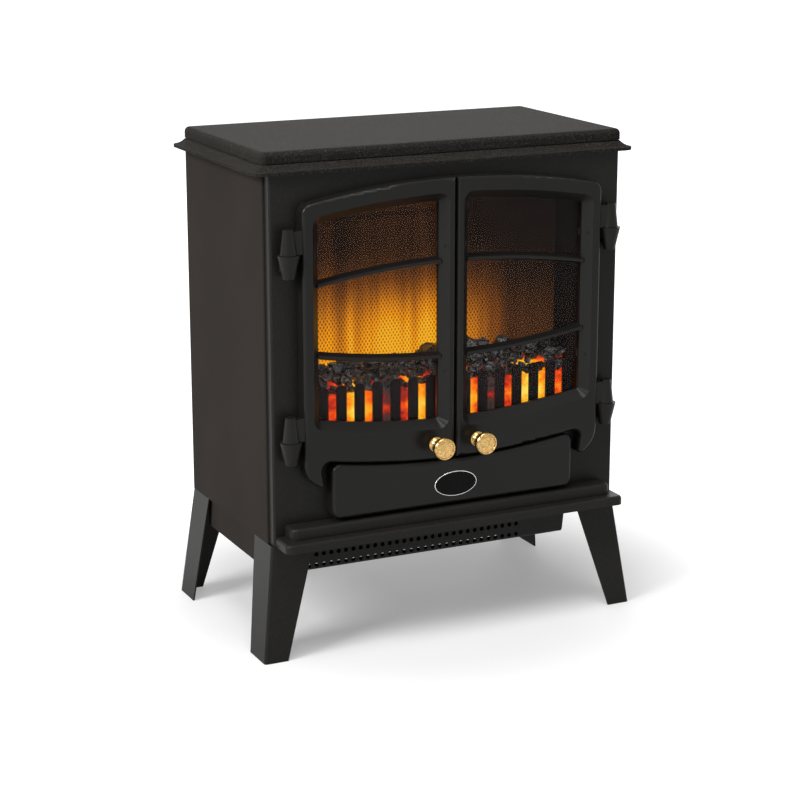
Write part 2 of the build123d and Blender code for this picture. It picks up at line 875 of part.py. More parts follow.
with BuildPart() as leg_screws:
    screw_inset = leg_tab * 0.6
    screw_x = side_x - screw_inset
    screw_ys = (front_y + screw_inset, back_y - screw_inset)
    screw_places = [(x, y) for x in (-screw_x, screw_x) for y in screw_ys]
    with BuildSketch(level(pan_low - leg_sheet)):
        with Locations(*screw_places):
            Circle(screw_head_radius)
    extrude(amount=-screw_head)
    fillet(leg_screws.faces().sort_by(Axis.Z)[0:4].edges(), radius=screw_head / 2)
finish(leg_screws.part, "leg_screws")


# Base pan: floor with skirts between the legs
pan_x = side_x - pan_inset
pan_front_y = front_y + outlet_setback
pan_back_y = back_y - pan_inset
mouth_y = front_y + duct_setback + steel
with BuildPart() as base_pan:
    with BuildSketch(level(pan_low)):
        with Locations((0, (pan_front_y + pan_back_y) / 2)):
            Rectangle(2 * pan_x, pan_back_y - pan_front_y)
        with Locations((fan_x, mouth_y)):
            Rectangle(fan_length, duct_mouth, align=(Align.CENTER, Align.MIN), mode=Mode.SUBTRACT)
    extrude(amount=steel)
    with BuildSketch(level(leg_height)):
        for x_side in (-1, 1):
            with Locations((x_side * (pan_x - steel / 2), middle_y)):
                Rectangle(steel, body_depth - 2 * skirt_clear)
        with Locations((0, pan_back_y - steel / 2)):
            Rectangle(body_width - 2 * skirt_clear, steel)
    extrude(amount=-skirt_depth)
finish(base_pan.part, "base_pan")


# Warm-air outlet: perforated channel across the front of the pan, bent back at its foot
outlet_low = leg_height - skirt_depth
with BuildPart() as outlet_grille:
    outlet_height = pan_low - outlet_low
    with BuildSketch(across(outlet_left)) as channel:
        with Locations((pan_front_y, outlet_low)):
            Rectangle(outlet_foot, outlet_height, align=(Align.MIN, Align.MIN))
        fillet(channel.vertices().group_by(Axis.X)[0], radius=outlet_bend)
    extrude(amount=outlet_right - outlet_left)
    with BuildSketch(across(outlet_left)) as hollow:
        with Locations((pan_front_y + outlet_sheet, outlet_low + outlet_sheet)):
            Rectangle(outlet_foot, outlet_height - 2 * outlet_sheet, align=(Align.MIN, Align.MIN))
        fillet(hollow.vertices().group_by(Axis.X)[0], radius=outlet_bend - outlet_sheet)
    extrude(amount=outlet_right - outlet_left, mode=Mode.SUBTRACT)
    with BuildSketch(facing(pan_front_y + outlet_bend)):
        for drop in (hole_upper_drop, hole_lower_drop):
            with Locations((hole_centre, leg_height - drop)):
                with GridLocations(hole_pitch, 0, hole_count, 1):
                    RegularPolygon(hole_radius, 8)
    extrude(amount=outlet_bend, mode=Mode.SUBTRACT)
    with BuildSketch(level(outlet_low)):
        with Locations((hole_centre, pan_front_y + hole_foot_back)):
            with GridLocations(hole_pitch, 0, hole_count, 1):
                RegularPolygon(hole_radius, 8)
    extrude(amount=outlet_sheet, mode=Mode.SUBTRACT)
    with BuildSketch(facing(pan_front_y + outlet_foot)):
        Polygon(
            (outlet_right, pan_low),
            (outlet_right, outlet_low),
            (outlet_right - outlet_slant, outlet_low),
            align=None,
        )
    extrude(amount=outlet_foot, mode=Mode.SUBTRACT)
finish(outlet_grille.part, "outlet_grille")


# Control recess: a pressed tray behind the flap, with three rocker switches and a thermostat
switch_xs = [switch_centre + step * switch_spacing for step in (-1, 0, 1)]
tray_front_y = front_y + fascia_wall
with BuildPart() as control_panel:
    with BuildSketch(facing(recess_y + steel)):
        with Locations((0, recess_z)):
            Rectangle(recess_width + 2 * steel, recess_height + 2 * steel)
    extrude(amount=recess_depth + steel)
    with BuildSketch(facing(tray_front_y + steel)):
        with Locations((0, recess_z)):
            Rectangle(recess_width + 2 * recess_flange, recess_height + 2 * recess_flange)
    extrude(amount=steel)
    with BuildSketch(facing(recess_y)):
        with Locations((0, recess_z)):
            Rectangle(recess_width, recess_height)
    extrude(amount=recess_depth, mode=Mode.SUBTRACT)
    with BuildSketch(facing(recess_y + steel)):
        for switch_x in switch_xs:
            with Locations((switch_x, recess_z)):
                Rectangle(switch_width, switch_height)
        with Locations((thermostat_x, recess_z)):
            Circle(thermostat_shaft + fit_gap)
    extrude(amount=steel, mode=Mode.SUBTRACT)
finish(control_panel.part, "control_panel")

rocker_pivot_y = recess_y + rocker_pivot_depth
with BuildPart() as switch_bodies:
    for switch_x in switch_xs:
        with BuildSketch(facing(recess_y + switch_depth)):
            with Locations((switch_x, recess_z)):
                Rectangle(switch_width, switch_height)
        extrude(amount=switch_depth)
        with BuildSketch(facing(recess_y)):
            bezel_width = switch_width + 2 * switch_bezel
            with Locations((switch_x, recess_z)):
                RectangleRounded(bezel_width, switch_height + 2 * switch_bezel, switch_bezel)
        extrude(amount=switch_bezel)
        with BuildSketch(facing(recess_y + switch_depth / 2)):
            with Locations((switch_x, recess_z)):
                Rectangle(rocker_width + 2 * fit_gap, rocker_height + 5 * fit_gap)
        extrude(amount=switch_depth, mode=Mode.SUBTRACT)
        with Locations(across(switch_x).location * Location((rocker_pivot_y, recess_z, 0))):
            trunnion_span = rocker_width + 4.5 * fit_gap
            Cylinder(rocker_trunnion + running_gap, trunnion_span, mode=Mode.SUBTRACT)
finish(switch_bodies.part, "switch_bodies")

for rocker_name, switch_x in zip(("flame", "low_heat", "high_heat"), switch_xs):
    with BuildPart() as rocker:
        with BuildSketch(across(switch_x - rocker_width / 2)):
            lip_y = rocker_pivot_y - rocker_pivot_depth - 2 * switch_bezel
            Polygon(
                (lip_y, recess_z - rocker_height / 2),
                (lip_y + switch_bezel, recess_z),
                (lip_y, recess_z + rocker_height / 2),
                (rocker_pivot_y + rocker_trunnion, recess_z + rocker_height / 2 - switch_bezel),
                (rocker_pivot_y + 2 * rocker_trunnion, recess_z),
                (rocker_pivot_y + rocker_trunnion, recess_z - rocker_height / 2 + switch_bezel),
                align=None,
            )
        extrude(amount=rocker_width)
        with Locations(across(switch_x).location * Location((rocker_pivot_y, recess_z, 0))):
            Cylinder(rocker_trunnion, rocker_width + 4 * fit_gap)
    finish(rocker.part, f"rocker_{rocker_name}")

thermostat_back_y = recess_y + steel
with BuildPart() as thermostat_body:
    with Locations((thermostat_x, thermostat_back_y, recess_z)):
        Box(
            2 * thermostat_radius,
            1.4 * thermostat_radius,
            2 * thermostat_radius,
            align=(Align.CENTER, Align.MIN, Align.CENTER),
        )
    with BuildSketch(facing(thermostat_back_y)):
        with Locations((thermostat_x, recess_z)):
            Circle(thermostat_shaft)
    extrude(amount=steel + 0.7 * thermostat_height)
finish(thermostat_body.part, "thermostat_body")

with BuildPart() as thermostat_knob:
    with BuildSketch(facing(recess_y - fit_gap)):
        with Locations((thermostat_x, recess_z)):
            Circle(thermostat_radius)
    extrude(amount=thermostat_height / 3, taper=12)
    with BuildSketch(facing(recess_y - fit_gap)):
        with Locations((thermostat_x, recess_z)):
            Circle(0.75 * thermostat_radius)
    extrude(amount=thermostat_height)
    fillet(thermostat_knob.faces().sort_by(Axis.Y)[0].edges(), radius=switch_bezel)
    with BuildSketch(facing(recess_y)):
        with Locations((thermostat_x, recess_z)):
            Circle(thermostat_shaft + running_gap)
    extrude(amount=0.75 * thermostat_height + fit_gap, mode=Mode.SUBTRACT)
finish(thermostat_knob.part, "thermostat_knob")


# Fire chamber: a folded box behind the fascia, open at the front
chamber_middle_z = (chamber_low + chamber_high) / 2
with BuildPart() as firebox_liner:
    with BuildSketch(facing(chamber_back_y)):
        with Locations((0, chamber_middle_z)):
            Rectangle(chamber_width, chamber_high - chamber_low)
    extrude(amount=chamber_depth)
    with BuildSketch(facing(chamber_back_y - chamber_sheet)):
        with Locations((0, chamber_middle_z)):
            Rectangle(2 * chamber_in, chamber_high - chamber_low - 2 * chamber_sheet)
    extrude(amount=chamber_depth, mode=Mode.SUBTRACT)
finish(firebox_liner.part, "firebox_liner")

inner_width = 2 * (chamber_in - fit_gap)
inner_top = chamber_high - chamber_sheet - fit_gap
with BuildPart() as flame_screen:
    with BuildSketch(facing(front_y + screen_setback + screen_thickness)):
        with Locations((0, chamber_floor)):
            Rectangle(inner_width, inner_top - chamber_floor, align=(Align.CENTER, Align.MIN))
    extrude(amount=screen_thickness)
finish(flame_screen.part, "flame_screen")

with BuildPart() as flame_reflector:
    with BuildSketch(facing(chamber_back_y - chamber_sheet)):
        with Locations((0, chamber_floor)):
            Rectangle(inner_width, inner_top - chamber_floor, align=(Align.CENTER, Align.MIN))
    extrude(amount=reflector_thickness)
finish(flame_reflector.part, "flame_reflector")

# Fret: an upright comb of round-topped bars across the front of the fire
with BuildPart() as fret:
    with BuildSketch(facing(front_y + fret_setback + fret_thickness)):
        with Locations((0, chamber_floor)):
            Rectangle(inner_width, fret_rail, align=(Align.CENTER, Align.MIN))
        bar_top = chamber_floor + fret_height - fret_bar_width / 2
        with GridLocations(fret_pitch, 0, fret_bars, 1):
            with Locations((0, bar_top)):
                Circle(fret_bar_width / 2)
            with Locations((0, chamber_floor)):
                Rectangle(fret_bar_width, bar_top - chamber_floor, align=(Align.CENTER, Align.MIN))
    extrude(amount=fret_thickness)
finish(fret.part, "fret")

# Coal bed: a thin moulding over the lamps, with rows of angular coals along its top
bed_y = front_y + bed_setback
bed_back_y = bed_y + bed_depth
with BuildPart() as coal:
    Box(coal_size, 0.75 * coal_size, 0.65 * coal_size)
    chamfer(coal.edges(), length=coal_size / 7)

with BuildPart() as fuel_bed:
    with BuildSketch(across(-inner_width / 2)):
        Polygon(
            (bed_y, chamber_floor),
            (bed_y, chamber_floor + bed_front_height),
            (bed_back_y, chamber_floor + bed_rear_height),
            (bed_back_y, chamber_floor),
            align=None,
        )
    extrude(amount=inner_width)
    for row in range(coal_rows):
        along = (row + 0.5) / coal_rows
        row_z = chamber_floor + bed_front_height + along * (bed_rear_height - bed_front_height)
        for column in range(coal_columns):
            spread = (column + 0.5) / coal_columns - 0.5
            coal_x = spread * (inner_width - 0.6 * coal_size)
            turn = 37 * (column + 1) + 71 * row
            lift = 0.12 * coal_size * math.sin(2.3 * column + 1.7 * row)
            coal_place = (coal_x, bed_y + along * bed_depth, row_z + lift)
            with Locations(Location(coal_place, (turn % 50, turn % 40, turn))):
                add(coal.part)
    with BuildSketch(across(-inner_width / 2)):
        Polygon(
            (bed_y - coal_size, chamber_floor),
            (bed_y - coal_size, chamber_floor + 2 * bed_rear_height),
            (bed_y, chamber_floor + 2 * bed_rear_height),
            (bed_y, chamber_floor),
            align=None,
        )
    extrude(amount=inner_width, mode=Mode.SUBTRACT)
    with BuildSketch(across(-inner_width / 2)):
        Polygon(
            (bed_back_y, chamber_floor),
            (bed_back_y, chamber_floor + 2 * bed_rear_height),
            (bed_back_y + coal_size, chamber_floor + 2 * bed_rear_height),
            (bed_back_y + coal_size, chamber_floor),
            align=None,
        )
    extrude(amount=inner_width, mode=Mode.SUBTRACT)
    with BuildSketch(across(bed_wall - inner_width / 2)):
        Polygon(
            (bed_y + bed_wall, chamber_floor),
            (bed_y + bed_wall, chamber_floor + bed_front_height - 2 * bed_wall),
            (bed_back_y - bed_wall, chamber_floor + bed_rear_height - 2 * bed_wall),
            (bed_back_y - bed_wall, chamber_floor),
            align=None,
        )
    extrude(amount=inner_width - 2 * bed_wall, mode=Mode.SUBTRACT)
finish(fuel_bed.part, "fuel_bed")


# Lamps lie under the coal bed, one at each end
lamp_y = front_y + lamp_setback
lamp_z = chamber_floor + lamp_lift
with BuildPart() as lampholders:
    for x_side in (-1, 1):
        with BuildSketch(across(x_side * lamp_holder_x - lamp_holder_length / 2)):
            with Locations((lamp_y, lamp_z)):
                Circle(lamp_holder_radius)
            with Locations((lamp_y, chamber_floor)):
                Rectangle(2 * lamp_holder_radius, lamp_lift, align=(Align.CENTER, Align.MIN))
            with Locations((lamp_y, lamp_z)):
                Circle(lamp_cap_radius, mode=Mode.SUBTRACT)
        extrude(amount=lamp_holder_length)
finish(lampholders.part, "lampholders")

with BuildPart() as lamps:
    lamp_start = lamp_holder_x + lamp_holder_length / 2
    lamp_neck = lamp_start - lamp_holder_length
    lamp_end = lamp_neck - lamp_length
    lamp_plane = Plane((0, lamp_y, lamp_z), x_dir=(1, 0, 0), z_dir=(0, -1, 0))
    with BuildSketch(lamp_plane):
        with BuildLine():
            cap = Polyline((lamp_start, 0), (lamp_start, lamp_cap_radius), (lamp_neck, lamp_cap_radius))
            belly = ThreePointArc(
                cap @ 1,
                (lamp_neck - 0.3 * lamp_length, lamp_radius),
                (lamp_neck - 0.75 * lamp_length, 0.5 * lamp_radius),
            )
            tip = Polyline(belly @ 1, (lamp_end, 0.15 * lamp_radius), (lamp_end, 0))
            Line(tip @ 1, cap @ 0)
        make_face()
    revolve(axis=Axis((0, lamp_y, lamp_z), (1, 0, 0)))
    mirror(about=Plane.YZ)
finish(lamps.part, "lamps")


# Flicker spindle: a rod with fans of bright vanes, between its motor and a bush
spindle_place = (spindle_y, spindle_z)
spindle_motor_x = chamber_in - spindle_motor_length
boss_x = spindle_motor_x - spindle_boss_length
with BuildPart() as flicker_spindle:
    spindle_end = boss_x + 0.8 * spindle_boss_length
    spindle_start = -chamber_in + 0.4 * spindle_boss_length
    with BuildSketch(across(spindle_start)):
        with Locations(spindle_place):
            Circle(spindle_radius)
    extrude(amount=spindle_end - spindle_start)
    vane_pitch = 2 * (boss_x - vane_length) / vane_sets
    for vane_set in range(vane_sets):
        vane_x = (vane_set + 0.5 - vane_sets / 2) * vane_pitch
        with BuildSketch(across(vane_x - vane_length / 2)):
            with Locations(spindle_place):
                with PolarLocations(vane_reach / 2, vane_arms, start_angle=vane_set * vane_turn):
                    Rectangle(vane_reach, vane_thickness)
        extrude(amount=vane_length)
finish(flicker_spindle.part, "flicker_spindle")

with BuildPart() as flicker_motor:
    with BuildSketch(across(spindle_motor_x)):
        with Locations(spindle_place):
            Circle(spindle_motor_radius)
    extrude(amount=spindle_motor_length)
    with BuildSketch(across(boss_x)):
        with Locations(spindle_place):
            Circle(spindle_boss_radius)
    extrude(amount=spindle_boss_length)
    with BuildSketch(across(boss_x)):
        with Locations(spindle_place):
            Circle(spindle_radius + running_gap)
    extrude(amount=spindle_boss_length, mode=Mode.SUBTRACT)
finish(flicker_motor.part, "flicker_motor")

with BuildPart() as spindle_bush:
    with BuildSketch(across(-chamber_in)):
        with Locations(spindle_place):
            Circle(spindle_boss_radius)
    extrude(amount=spindle_boss_length)
    with BuildSketch(across(-chamber_in + 0.3 * spindle_boss_length)):
        with Locations(spindle_place):
            Circle(spindle_radius + running_gap)
    extrude(amount=spindle_boss_length, mode=Mode.SUBTRACT)
finish(spindle_bush.part, "spindle_bush")


# Fan heater: a scroll and duct of sheet, a tangential impeller, its motor and the element
fan_place = (fan_y, fan_z)
duct_y = front_y + duct_setback
scroll_radius = fan_radius + fan_clear + steel
with BuildPart() as fan_housing:
    with BuildSketch(across(fan_left - steel)):
        with Locations(fan_place):
            Circle(scroll_radius)
        with Locations((duct_y, leg_height)):
            Rectangle(fan_y - duct_y, duct_height, align=(Align.MIN, Align.MIN))
    extrude(amount=fan_length + 2 * steel)
    with BuildSketch(across(fan_left)):
        with Locations(fan_place):
            Circle(scroll_radius - steel)
        with Locations((duct_y + steel, leg_height + steel)):
            duct_inner = duct_height - 2 * steel
            Rectangle(fan_y - duct_y - steel, duct_inner, align=(Align.MIN, Align.MIN))
        with Locations((mouth_y, leg_height)):
            Rectangle(duct_mouth, duct_height / 2, align=(Align.MIN, Align.MIN))
        with Locations(fan_place):
            Rectangle(scroll_radius, scroll_radius, align=(Align.MIN, Align.MIN))
    extrude(amount=fan_length, mode=Mode.SUBTRACT)
    with BuildSketch(across(fan_left - steel)):
        with Locations(fan_place):
            Circle(fan_bush_radius)
    extrude(amount=fan_length + 2 * steel, mode=Mode.SUBTRACT)
finish(fan_housing.part, "fan_housing")

with BuildPart() as fan_bush:
    with BuildSketch(across(fan_left - fan_bush_radius)):
        with Locations(fan_place):
            Circle(fan_bush_radius + steel)
    extrude(amount=fan_bush_radius - steel)
    with BuildSketch(across(fan_left - steel)):
        with Locations(fan_place):
            Circle(fan_bush_radius)
    extrude(amount=steel)
    with BuildSketch(across(fan_left - fan_bush_radius)):
        with Locations(fan_place):
            Circle(fan_shaft_radius + running_gap)
    extrude(amount=fan_bush_radius, mode=Mode.SUBTRACT)
finish(fan_bush.part, "fan_bush")

with BuildPart() as fan_impeller:
    drum_length = fan_length - 2 * fan_disc
    with BuildSketch(across(fan_x - drum_length / 2)):
        with Locations(fan_place):
            with PolarLocations(fan_radius - fan_blade_depth / 2, fan_blades):
                Rectangle(fan_blade_depth, fan_blade_thickness, rotation=25)
            Circle(fan_shaft_radius)
    extrude(amount=drum_length)
    for disc_x in (fan_x - drum_length / 2, fan_x - fan_disc / 2, fan_x + drum_length / 2 - fan_disc):
        with BuildSketch(across(disc_x)):
            with Locations(fan_place):
                Circle(fan_radius)
        extrude(amount=fan_disc)
    shaft_start = fan_left - fan_bush_radius
    with BuildSketch(across(shaft_start)):
        with Locations(fan_place):
            Circle(fan_shaft_radius)
    extrude(amount=fan_right + steel + 0.6 * fan_motor_length - shaft_start)
finish(fan_impeller.part, "fan_impeller")

with BuildPart() as fan_motor:
    with BuildSketch(across(fan_right + steel)):
        with Locations(fan_place):
            Circle(fan_motor_radius)
    extrude(amount=fan_motor_length)
    fillet(fan_motor.edges().group_by(Axis.X)[-1], radius=casing_bend)
    with Locations((fan_right + steel + fan_motor_length / 2, fan_y, leg_height)):
        foot_height = fan_z - leg_height
        Box(fan_motor_foot, fan_motor_foot, foot_height, align=(Align.CENTER, Align.CENTER, Align.MIN))
    with BuildSketch(across(fan_right + steel)):
        with Locations(fan_place):
            Circle(fan_shaft_radius + running_gap)
    extrude(amount=0.7 * fan_motor_length, mode=Mode.SUBTRACT)
finish(fan_motor.part, "fan_motor")

with BuildPart() as heating_element:
    with BuildSketch(facing(front_y + heater_setback + heater_depth)):
        with Locations((fan_x, leg_height + duct_height / 2)):
            Rectangle(fan_length, duct_height - 2 * steel)
            Rectangle(fan_length - 4 * steel, duct_height - 6 * steel, mode=Mode.SUBTRACT)
            with GridLocations(fan_length / (heater_fins + 1), 0, heater_fins, 1):
                Rectangle(steel, duct_height - 2 * steel)
    extrude(amount=heater_depth)
finish(heating_element.part, "heating_element")

with BuildPart() as thermal_cutout:
    with BuildSketch(level(leg_height + duct_height)):
        with Locations((fan_x, mouth_y + duct_mouth)):
            Circle(cutout_radius)
            Rectangle(4 * cutout_radius, cutout_radius)
    extrude(amount=cutout_height / 3)
    with BuildSketch(level(leg_height + duct_height)):
        with Locations((fan_x, mouth_y + duct_mouth)):
            Circle(0.8 * cutout_radius)
    extrude(amount=cutout_height)
finish(thermal_cutout.part, "thermal_cutout")


# Mains inlet: a bush in the back panel, and the terminal block on the pan behind it
with BuildPart() as inlet_bush:
    inlet_y = back_y + steel
    with BuildSketch(facing(inlet_y + 2 * steel)):
        with Locations((inlet_x, inlet_z)):
            Circle(inlet_flange)
    extrude(amount=2 * steel)
    with BuildSketch(facing(inlet_y)):
        with Locations((inlet_x, inlet_z)):
            Circle(inlet_radius)
    extrude(amount=4 * steel)
    fillet(inlet_bush.edges().group_by(Axis.Y)[-1], radius=steel)
    with BuildSketch(facing(inlet_y + 2 * steel)):
        with Locations((inlet_x, inlet_z)):
            Circle(inlet_bore)
    extrude(amount=6 * steel, mode=Mode.SUBTRACT)
finish(inlet_bush.part, "inlet_bush")

with BuildPart() as terminal_block:
    terminal_y = back_y - 4 * terminal_depth
    with Locations((inlet_x, terminal_y, leg_height)):
        Box(terminal_width, terminal_depth, terminal_height, align=(Align.CENTER, Align.CENTER, Align.MIN))
    with BuildSketch(level(leg_height + terminal_height)):
        with Locations((inlet_x, terminal_y)):
            with GridLocations(terminal_width / 3, terminal_depth / 2, 3, 2):
                Circle(screw_radius)
    extrude(amount=-terminal_height / 3, mode=Mode.SUBTRACT)
finish(terminal_block.part, "terminal_block")
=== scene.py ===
"""Looks of the electric fireplace stove: coats, brass, glass, the lit coal bed and the flame screen."""
import json
import math
import random

import bpy
from bpy.props import FloatProperty, FloatVectorProperty, IntProperty, PointerProperty
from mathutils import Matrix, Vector


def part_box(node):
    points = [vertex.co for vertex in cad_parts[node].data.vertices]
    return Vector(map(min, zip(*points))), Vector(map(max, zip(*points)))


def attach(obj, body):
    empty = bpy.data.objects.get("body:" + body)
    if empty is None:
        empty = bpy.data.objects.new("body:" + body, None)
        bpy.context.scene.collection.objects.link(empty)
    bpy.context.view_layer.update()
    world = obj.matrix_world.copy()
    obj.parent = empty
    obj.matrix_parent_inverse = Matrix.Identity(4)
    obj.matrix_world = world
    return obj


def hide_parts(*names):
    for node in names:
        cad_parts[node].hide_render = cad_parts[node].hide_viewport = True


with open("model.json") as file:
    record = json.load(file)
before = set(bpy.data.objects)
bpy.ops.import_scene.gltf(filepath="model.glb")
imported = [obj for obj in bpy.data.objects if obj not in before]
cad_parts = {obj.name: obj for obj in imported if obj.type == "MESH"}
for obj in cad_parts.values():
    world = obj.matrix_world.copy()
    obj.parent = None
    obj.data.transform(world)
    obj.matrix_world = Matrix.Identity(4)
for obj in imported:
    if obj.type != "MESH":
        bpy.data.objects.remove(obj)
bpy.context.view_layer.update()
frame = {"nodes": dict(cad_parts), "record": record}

bl_info = {
    "name": "Electric fireplace stove",
    "version": (1, 0, 0),
    "blender": (4, 5, 0),
    "location": "3D View > Sidebar > Stove",
    "description": "Coats, coals, flame screen, brass and badge ring of an electric fireplace stove",
    "category": "Object",
}

MM = 0.001
BED_LOW, BED_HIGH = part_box("fuel_bed")
FLAP_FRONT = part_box("ash_flap")[0].y

# Turns a flat shape up to face the front
UPRIGHT = (math.pi / 2, 0, 0)

# Places along the bed where it glows more or less: centre and reach in mm, and strength
HOT_SPOTS = ((-105, 31, 0.42), (-22, 20, 0.42), (46, 18, 0.36), (132, 40, 0.56))
DULL_SPOTS = ((-60, 26, 0.26), (76, 22, 0.26))

# Heights in mm: centre and reach of the hot foot of the bed, and where the glow gives way to coals
EMBER_FOOT = (279.0, 12.0)
COAL_LINE = (309.0, 317.0)

# The flame screen, in mm: where it fades upwards (z) and to the right (x), its dark upper corner,
# and centre and reach of a painted reflection of the chamber's frame: dark stripe (x), dark band (z)
FLAME_FADE = (345.0, 472.0)
FLAME_LEAN = (25.0, 145.0)
CORNER_ACROSS = (20.0, 70.0)
CORNER_HEIGHT = (435.0, 490.0)
FRAME_REFLECTION_STRIPE = (-104.0, 19.0)
FRAME_REFLECTION_BAND = (504.0, 6.0)

# Colours from no heat to full heat
FLAME_TONES = (
    (0.0, "0b0706"),
    (0.15, "26170f"),
    (0.3, "4c2b13"),
    (0.45, "7d4412"),
    (0.6, "ae6616"),
    (0.76, "e48a10"),
    (0.92, "ffa60c"),
    (1.0, "ffba22"),
)
EMBER_TONES = (
    (0.0, "160b0a"),
    (0.1, "3b3634"),
    (0.2, "4a2621"),
    (0.3, "a51f10"),
    (0.46, "e8400f"),
    (0.6, "ff7609"),
    (0.78, "ffae10"),
    (1.0, "ffe25a"),
)

# Rows of large coals: depth into the bed and height over its foot in mm, share of the full size
COAL_ROWS = ((12, 66, 0.62), (24, 74, 0.8), (37, 82, 0.96))
COAL_KINDS = 4
FULL_TURN = 6.28

# Lumps that stand out of the heap: place along it and top height in mm, share of the full size
PEAKS = (
    (8, 343, 1.15),
    (60, 347, 1.1),
    (76, 343, 1.0),
    (108, 342, 1.0),
    (-70, 335, 0.9),
    (150, 336, 1.1),
)
PEAK_SETBACK = 12 * MM

# Chips, in mm: depth into the bed and height over its foot in front, and how much more at the back
CHIP_DEPTH, CHIP_DEEPER = 1, 36
CHIP_HEIGHT, CHIP_HIGHER = 64, 27

# Badge: height of its middle and thickness of its face
BADGE_MIDDLE = 191 * MM
BADGE_FACE_DEPTH = 0.8 * MM

# Dark sheet behind the outlet that paints shade into its upper holes: thickness, distance behind the
# outlet's front, and what it leaves free
SHADE_SHEET_THICKNESS = 1 * MM
SHADE_SHEET_SETBACK = 14 * MM
SHADE_SHEET_CUT = 8 * MM
SHADE_SHEET_SIDE = 1 * MM

# Dial: number of marks, angle of the first and between two in degrees, distance from the knob
DIAL_STEPS = 10
DIAL_START = -135
DIAL_STEP = 30
DIAL_GAP = 2 * MM
DIAL_LIFT = 0.2 * MM
MARK_SIZE = (0.6 * MM, 0.3 * MM, 2.4 * MM)
POINTER_SIZE = (0.9 * MM, 0.4 * MM, 8 * MM)
POINTER_LIFT = 5 * MM

# Lamps: name, place in metres, power in watts and width in metres
LAMPS = (
    ("key_lamp", (-3.4, -0.9, 2.4), 155, 1.5),
    ("fill_lamp", (1.8, -3.0, 1.5), 5, 2.4),
    ("top_lamp", (-0.5, -1.0, 3.2), 58, 1.6),
    ("back_lamp", (1.4, 3.2, 1.8), 30, 2.0),
)
LAMP_AIM = (0, 0, 0.3)
SKY = (0.24, 0.24, 0.24)
WHITE = (1.0, 1.0, 1.0)
BLACK = (0.0, 0.0, 0.0)
FLOOR_GREY = (0.55, 0.55, 0.55)
FLOOR_DROP = 0.2 * MM

# How bright the seen floor is at the stove, which paints a shadow round it, and how it brightens
# away from it: from and to, in metres, and by how much
FLOOR_PAINTED_SHADOW = 0.28
FLOOR_RISES = ((0.2, 0.55, 0.57), (1.0, 3.0, 0.15))

SEEN_RAYS = ("Is Camera Ray", "Is Glossy Ray", "Is Transmission Ray")
CAMERA_PLACE = Vector((-1121.6, -2314.8, 948.5)) * MM
CAMERA_AIM = Vector((-11.2, 0.0, 263.95)) * MM
CAMERA_LENS = 96.3
CAMERA_SENSOR = 36
CAMERA_REACH = 100


def tone(look):
    """Light levels of a colour that is named as it looks on a screen, such as 3a3733."""
    levels = [int(look[i:i + 2], 16) / 255 for i in (0, 2, 4)]
    return [v / 12.92 if v <= 0.04045 else ((v + 0.055) / 1.055) ** 2.4 for v in levels]


class Level:
    """A number that changes over a surface: one socket of a shader, used in plain sums."""

    def __init__(self, finish, socket):
        self.finish = finish
        self.socket = socket

    def _sum(self, operation, *values):
        return self.finish.node("ShaderNodeMath", {"operation": operation}, dict(enumerate(values)))

    def __add__(self, other):
        return self._sum("ADD", self, other)

    def __radd__(self, other):
        return self._sum("ADD", other, self)

    def __sub__(self, other):
        return self._sum("SUBTRACT", self, other)

    def __rsub__(self, other):
        return self._sum("SUBTRACT", other, self)

    def __mul__(self, other):
        return self._sum("MULTIPLY", self, other)

    def __rmul__(self, other):
        return self._sum("MULTIPLY", other, self)

    def __truediv__(self, other):
        return self._sum("DIVIDE", self, other)

    def __pow__(self, other):
        return self._sum("POWER", self, other)

    def cosine(self):
        return self._sum("COSINE", self)

    def peak(self, centre, reach):
        """1 at the centre, and smoothly less to 0 at that reach from it."""
        return 1 - self._sum("ABSOLUTE", self - centre).rise(0.0, reach)

    def rise(self, low, high):
        """0 below low, 1 above high, and smooth between them."""
        values = {"Value": self, "From Min": low, "From Max": high}
        return self.finish.node("ShaderNodeMapRange", {"interpolation_type": "SMOOTHSTEP"}, values)


